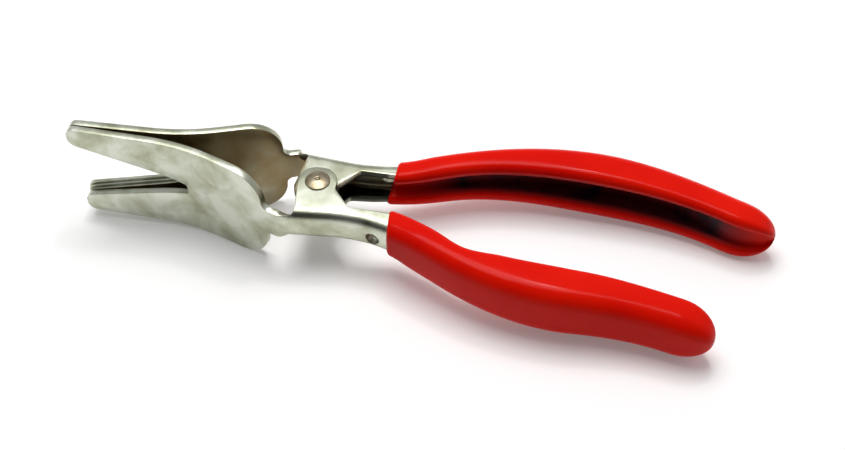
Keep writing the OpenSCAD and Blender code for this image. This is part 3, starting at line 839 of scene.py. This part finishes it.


# Strength of the groove's painted shade along the grip, from the dip line to the nose.
groove_fades = [0, 0.05, 0.2, 0.86, 0.95, 1]
groove_marks = [0, 0.1, 1, 1, 0, 0]


def mark_groove(grip, outer, inner, count):
    """Point attribute for painted shade: 1 on the groove's walls, 0 on the outside, and in between on the
    lips' ends. It is weaker at both ends of the grip, where more light gets in."""
    ring = np.zeros(count)
    first = corner_steps + 1 + 5
    last = count - first
    ring[first:last] = 1
    ring[first:first + 5] = np.linspace(0.2, 1, 5)
    ring[last - 5:last] = (1, 0.7, 0.3, 0, 0)
    along = np.interp(np.linspace(0, 1, len(outer)), groove_fades, groove_marks)
    values = np.concatenate([np.outer(along, ring).ravel(), np.zeros(len(inner) * count), [0]])
    layer = grip.data.attributes.new("groove", "FLOAT", "POINT")
    layer.data.foreach_set("value", values.astype(np.float32))


grips = {side: make_grip(side) for side in ("near", "far")}
for side, grip in grips.items():
    work = bmesh.new()
    work.from_mesh(grip.data)
    bmesh.ops.recalc_face_normals(work, faces=work.faces)
    print(grip.name, len(work.faces), "faces, volume", round(work.calc_volume() / MM ** 3), "mm3")
    work.to_mesh(grip.data)
    work.free()
    smooth_shading(grip, 50)

# %% [markdown]
# The rivet is a turned shape, so half its section is spun round the axis. Its upper head is a low
# dome with a small dimple in the middle, left by the setting tool.

# %% Rivet and sleeve
head_gap = 0.05
head_r = 3.97
head_rim = 0.4
head_dome = 0.9
dimple_r = 0.8
dimple_depth = 0.4
rim_r = 0.15
sleeve_wall = 1.4


def spin(name, profile, steps=72):
    """Surface of revolution: each (radius, height) point becomes a circle round the rivet's axis."""
    angles = np.linspace(0, 2 * math.pi, steps, endpoint=False)
    r, z = np.asarray(profile).T
    points = np.stack([
        r[:, None] * np.cos(angles), r[:, None] * np.sin(angles), z[:, None] + 0 * angles,
    ], -1)
    piece = make_piece(name, points.reshape(-1, 3), grid_faces(len(r), steps, closed=True))
    weld(piece)
    work = bmesh.new()
    work.from_mesh(piece.data)
    bmesh.ops.recalc_face_normals(work, faces=work.faces)
    work.to_mesh(piece.data)
    work.free()
    return piece


def head_profile(base, sign, dimple):
    """From the middle of a head out to its rim and in to the shank: z falls with the square of r."""
    r = np.linspace(0, head_r - rim_r, 28)
    dome = head_rim + head_dome * (1 - (r / head_r) ** 2)
    hollow = dimple * np.clip(1 - (r / dimple_r) ** 2, 0, 1)
    rim = round_corner((head_r - 1, head_rim + 0.4), (head_r, head_rim), (head_r, 0), rim_r, 4)
    points = np.concatenate([np.stack([r, dome - hollow], 1), rim, [[head_r, 0], [rivet_r, 0]]])
    return points * [1, sign] + [0, base]


upper = head_profile(outer_face_z, 1, dimple_depth)
lower = head_profile(-outer_face_z - head_gap, -1, 0)
rivet = spin("rivet_body", np.concatenate([upper, lower[::-1]]))
sleeve_in = rivet_r + rivet_fit
sleeve_out = sleeve_in + sleeve_wall
sleeve_half = inner_face_z - sheet
sleeve_top = sleeve_half - ear_gap
sleeve_round = 0.2
sleeve = spin("sleeve_tube", [
    (sleeve_in, -sleeve_half), (sleeve_out - sleeve_round, -sleeve_half),
    (sleeve_out, -sleeve_half + sleeve_round), (sleeve_out, sleeve_top - sleeve_round),
    (sleeve_out - sleeve_round, sleeve_top), (sleeve_in, sleeve_top), (sleeve_in, -sleeve_half),
])
for piece in (rivet, sleeve):
    smooth_shading(piece, 40)
    print(piece.name, len(piece.data.polygons), "faces")

# %% [markdown]
# A finish starts from the real material. Node trees need many small steps, so one helper adds a node
# with its settings and links. Colours are written as they look on a screen and turned to linear
# light by one function.


# %% Colour and node helpers
def linear(code):
    """Linear light of an sRGB hex colour: c / 12.92 below 0.04045, else ((c + 0.055) / 1.055) ^ 2.4."""
    values = [int(code[k:k + 2], 16) / 255 for k in (1, 3, 5)]
    return tuple(v / 12.92 if v <= 0.04045 else ((v + 0.055) / 1.055) ** 2.4 for v in values) + (1,)


def add(tree, kind, settings=None, **inputs):
    """Adds a node. Settings are its properties, and inputs are values or other nodes' outputs."""
    node = tree.nodes.new(kind)
    for name, value in (settings or {}).items():
        setattr(node, name, value)
    for name, value in inputs.items():
        socket = node.inputs[int(name[1:])] if name[0] == "_" else node.inputs[name.replace("_", " ")]
        if isinstance(value, bpy.types.NodeSocket):
            tree.links.new(value, socket)
        else:
            socket.default_value = value
    return node


def new_material(name):
    """Empty material with a Principled shader, and its tree, shader and Object coordinates."""
    material = bpy.data.materials.new(name)
    material.use_nodes = True
    tree = material.node_tree
    tree.nodes.clear()
    shader = add(tree, "ShaderNodeBsdfPrincipled")
    add(tree, "ShaderNodeOutputMaterial", Surface=shader.outputs[0])
    place = add(tree, "ShaderNodeTexCoord").outputs["Object"]
    return material, tree, shader, place


def ramp(tree, value, *stops):
    """Colour ramp through (place, hex colour) stops."""
    node = add(tree, "ShaderNodeValToRGB", _0=value)
    while len(node.color_ramp.elements) < len(stops):
        node.color_ramp.elements.new(0.5)
    for element, (position, code) in zip(node.color_ramp.elements, stops):
        element.position = position
        element.color = linear(code)
    return node.outputs[0]


def per_size(mm):
    """Noise scale that gives features of this many millimetres in Object coordinates."""
    return 1 / (mm * MM)


# %% [markdown]
# The levers are low-carbon steel, tumbled and zinc plated: a soft satin grey with a faint warm and
# green cast where the chromate lies thicker, and fine grain that spreads the highlights. Their inner
# faces get a painted shade: mottled olive-brown between the jaws, near-black inside the channel.


# %% Satin zinc-plated steel
def zinc_plated_steel():
    material, tree, shader, place = new_material("satin_zinc_plated_steel")
    blotch = add(tree, "ShaderNodeTexNoise", Vector=place, Scale=per_size(11), Detail=4.0, Roughness=0.55,
                 Distortion=0.4)
    colour = ramp(tree, blotch.outputs[0], (0.36, "#a7a98f"), (0.46, "#bbbea7"), (0.55, "#c9cdba"),
                  (0.64, "#d9dccd"))
    # Painted shade: the inner faces between the jaws and flanges are mixed towards a mottled olive-brown, as in the
    # dark gap between the levers.
    inner = add(tree, "ShaderNodeAttribute", {"attribute_name": "inner"})
    shade_noise = add(tree, "ShaderNodeTexNoise", Vector=place, Scale=per_size(20), Detail=3.0, Distortion=0.4)
    shade_strength = add(tree, "ShaderNodeMapRange", Value=shade_noise.outputs[0], From_Min=0.38, From_Max=0.6,
                  To_Min=0.6, To_Max=1.0)
    amount = add(tree, "ShaderNodeMath", {"operation": "MULTIPLY"}, _0=inner.outputs["Fac"],
                 _1=shade_strength.outputs[0])
    painted_shade_mix = add(tree, "ShaderNodeMix", {"data_type": "RGBA"}, _0=amount.outputs[0], _6=colour,
                 _7=linear("#8d7a56"))
    # Painted shade: inside the channel the colour is mixed further, towards near-black.
    channel_shade = add(tree, "ShaderNodeAttribute", {"attribute_name": "channel_shade"})
    shaded = add(tree, "ShaderNodeMix", {"data_type": "RGBA"}, _0=channel_shade.outputs["Fac"],
                 _6=painted_shade_mix.outputs[2], _7=linear("#1e201b"))
    tree.links.new(shaded.outputs[2], shader.inputs["Base Color"])
    grain = add(tree, "ShaderNodeTexNoise", Vector=place, Scale=per_size(0.4), Detail=2.0)
    rough = add(tree, "ShaderNodeMapRange", Value=blotch.outputs[0], From_Min=0.3, From_Max=0.7,
                To_Min=0.29, To_Max=0.37)
    tree.links.new(rough.outputs[0], shader.inputs["Roughness"])
    bump = add(tree, "ShaderNodeBump", Height=grain.outputs[0], Strength=1.0, Distance=0.06 * MM)
    tree.links.new(bump.outputs[0], shader.inputs["Normal"])
    shader.inputs["Metallic"].default_value = 1
    return material


# %% [markdown]
# The grips are dipped PVC: the hot handle goes into liquid vinyl, which sets in a glossy coat with
# faint sagging waves. Inside the groove the red is darkened towards a dark purple: painted shade.


# %% Dipped red vinyl
def dipped_vinyl():
    material, tree, shader, place = new_material("glossy_dipped_vinyl")
    cloud = add(tree, "ShaderNodeTexNoise", Vector=place, Scale=per_size(30), Detail=2.0)
    red = ramp(tree, cloud.outputs[0], (0.35, "#d90f04"), (0.65, "#e61806"))
    # Painted shade: the groove's walls are mixed towards a dark purple, its strength swirled by noise.
    groove = add(tree, "ShaderNodeAttribute", {"attribute_name": "groove"})
    swirl = add(tree, "ShaderNodeTexNoise", Vector=place, Scale=per_size(16), Detail=2.0, Distortion=1.2)
    depth = add(tree, "ShaderNodeMapRange", Value=swirl.outputs[0], From_Min=0.36, From_Max=0.56,
                To_Min=0.85, To_Max=1.0)
    amount = add(tree, "ShaderNodeMath", {"operation": "MULTIPLY"}, _0=groove.outputs["Fac"],
                 _1=depth.outputs[0])
    painted_shade_mix = add(tree, "ShaderNodeMix", {"data_type": "RGBA"}, _0=amount.outputs[0], _6=red,
                 _7=linear("#3a2d34"))
    tree.links.new(painted_shade_mix.outputs[2], shader.inputs["Base Color"])
    wave = add(tree, "ShaderNodeTexNoise", Vector=place, Scale=per_size(7), Detail=1.0)
    bump = add(tree, "ShaderNodeBump", Height=wave.outputs[0], Strength=0.3, Distance=0.12 * MM)
    tree.links.new(bump.outputs[0], shader.inputs["Normal"])
    shader.inputs["Roughness"].default_value = 0.16
    shader.inputs["IOR"].default_value = 1.54
    shader.inputs["Specular IOR Level"].default_value = 0.06
    return material


# %% [markdown]
# The rivet and its sleeve are steel with a thin yellow chromate over the zinc, which looks like
# pale champagne gold. The set head is slightly hammered.


# %% Yellow chromate steel
def chromate_steel():
    material, tree, shader, place = new_material("yellow_chromate_steel")
    mottle = add(tree, "ShaderNodeTexNoise", Vector=place, Scale=per_size(1.6), Detail=3.0)
    colour = ramp(tree, mottle.outputs[0], (0.35, "#8d8167"), (0.5, "#9d9178"), (0.7, "#b0a68f"))
    tree.links.new(colour, shader.inputs["Base Color"])
    bump = add(tree, "ShaderNodeBump", Height=mottle.outputs[0], Strength=0.3, Distance=0.05 * MM)
    tree.links.new(bump.outputs[0], shader.inputs["Normal"])
    shader.inputs["Metallic"].default_value = 1
    shader.inputs["Roughness"].default_value = 0.35
    return material


finishes = {"plated_steel": zinc_plated_steel(), "red_vinyl": dipped_vinyl(), "rivet_steel": chromate_steel()}
print("finishes:", ", ".join(material.name for material in finishes.values()))

# %% [markdown]
# Every piece rides on a body of the CAD model, so that it moves with the hinge, and stands for the
# plain solid that it replaces. The slot names the finish that the record lists for it.

# %% Ride, replace and dress
roles = [
    (levers["near"], "near_half", "near_lever", "plated_steel"),
    (levers["far"], "far_half", "far_lever", "plated_steel"),
    (grips["near"], "near_half", "near_grip", "red_vinyl"),
    (grips["far"], "far_half", "far_grip", "red_vinyl"),
    (rivet, "near_half", "pivot_rivet", "rivet_steel"),
    (sleeve, "near_half", "spacer_sleeve", "rivet_steel"),
]
for piece, body, node, slot in roles:
    piece.data.materials.clear()
    piece.data.materials.append(finishes[slot])
    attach(piece, body)
    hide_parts(node)
print(len(roles), "pieces ride on two bodies")

# %% [markdown]
# The tool lies on a white table, on the lower shoulders of its jaws and the ends of its grips, so the
# table is slightly tilted against the tool's own frame. A backdrop isn't needed: what the camera
# sees past the table is plain white.

# %% Table
jaw_rest = np.array([heel_x - heel_r, -jaw_half_h])
grip_box = np.array(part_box("far_grip")) / MM - pivot
grip_rest_x = 125
table_drop = 0.1
slope = (grip_box[0, 2] - jaw_rest[1]) / (grip_rest_x - jaw_rest[0])
table_half = 2500
table_x = np.array([-table_half, table_half, table_half, -table_half])
table_y = np.array([-table_half, -table_half, table_half, table_half])
table_z = jaw_rest[1] - table_drop + slope * (table_x - jaw_rest[0])
table = make_piece("table", np.stack([table_x, table_y, table_z], 1), [(0, 1, 2, 3)])
print("table tilt", round(math.degrees(math.atan(slope)), 2), "degrees")


def seen_rays(tree):
    """1 for what the camera sees, directly, mirrored or through glass, and 0 for the light that falls
    on dull surfaces."""
    rays = add(tree, "ShaderNodeLightPath")
    seen = rays.outputs["Is Camera Ray"]
    for kind in ("Is Glossy Ray", "Is Transmission Ray"):
        seen = add(tree, "ShaderNodeMath", {"operation": "MAXIMUM"}, _0=seen, _1=rays.outputs[kind]).outputs[0]
    return seen


def table_paper():
    """White paper, with a little light of its own for the camera only, so that it reads as white."""
    material, tree, shader, place = new_material("white_table_paper")
    shader.inputs["Base Color"].default_value = linear("#f4f3f2")
    shader.inputs["Roughness"].default_value = 0.6
    glow = add(tree, "ShaderNodeMath", {"operation": "MULTIPLY"}, _0=seen_rays(tree), _1=0.17)
    shader.inputs["Emission Color"].default_value = (1, 1, 1, 1)
    tree.links.new(glow.outputs[0], shader.inputs["Emission Strength"])
    return material


table.data.materials.append(table_paper())

# %% [markdown]
# Studio light for small tools is one large soft source overhead and a small, weaker one further
# back. The world stands for the room: white above and behind the tool, and dark on the
# photographer's side. Bent steel mirrors both, and that gives it the bright line and the dark band
# beside each other.

# %% Light
world = bpy.data.worlds.new("studio")
bpy.context.scene.world = world
world.use_nodes = True
sky = world.node_tree
sky.nodes.clear()
direction = add(sky, "ShaderNodeTexCoord").outputs["Generated"]
parts = add(sky, "ShaderNodeSeparateXYZ", Vector=direction)
behind = add(sky, "ShaderNodeMapRange", Value=parts.outputs["Y"], From_Min=-0.42, From_Max=-0.02)
room = ramp(sky, behind.outputs[0], (0.0, "#222224"), (1.0, "#b4b4b6"))
low = add(sky, "ShaderNodeMapRange", Value=parts.outputs["Z"], From_Min=0.16, From_Max=0.02)
seen = seen_rays(sky)
shown = add(sky, "ShaderNodeMath", {"operation": "MULTIPLY"}, _0=low.outputs[0], _1=seen)
wall = add(sky, "ShaderNodeMix", {"data_type": "RGBA"}, _0=shown.outputs[0], _6=room, _7=linear("#ffffff"))
strength = add(sky, "ShaderNodeMapRange", Value=seen, To_Min=1.1, To_Max=1.0)
glow = add(sky, "ShaderNodeBackground", Color=wall.outputs[2], Strength=strength.outputs[0])
add(sky, "ShaderNodeOutputWorld", Surface=glow.outputs[0])


def soft_box(name, place, target, size, power):
    """Square area lamp at a place in millimetres from the rivet, turned towards a target."""
    light = bpy.data.lights.new(name, "AREA")
    light.shape = "SQUARE"
    light.size = size * MM
    light.energy = power
    lamp = bpy.data.objects.new(name, light)
    bpy.context.collection.objects.link(lamp)
    place, target = np.array(place, float), np.array(target, float)
    lamp.location = (place + pivot) * MM
    lamp.rotation_euler = Vector(target - place).to_track_quat("-Z", "Y").to_euler()


soft_box("overhead", (-60, 130, 640), (30, 0, 0), 400, 3.1)
soft_box("bright_bulb", (60, 220, 600), (30, 0, 0), 50, 0.35)

# %% [markdown]
# The camera stands where the photographer's did: turned 9.9 degrees to the right of the tool's front
# and 49.4 degrees up, with a 48 mm lens at 350 mm.

# %% Camera
camera_azimuth = math.radians(9.91)
camera_height = math.radians(49.4)
camera_distance = 349.7
camera_target = np.array([34.4, -6.2, 0])
back = np.array([
    math.sin(camera_azimuth) * math.cos(camera_height),
    -math.cos(camera_azimuth) * math.cos(camera_height),
    math.sin(camera_height),
])
camera_data = bpy.data.cameras.new("camera")
camera_data.sensor_width = 36
camera_data.lens = 47.9
camera_data.clip_start = 0.01
camera_data.clip_end = 20
camera = bpy.data.objects.new("camera", camera_data)
bpy.context.collection.objects.link(camera)
camera.location = (camera_target + back * camera_distance + pivot) * MM
camera.rotation_euler = (math.pi / 2 - camera_height, 0, camera_azimuth)
scene = bpy.context.scene
scene.camera = camera
scene.view_settings.view_transform = "Standard"
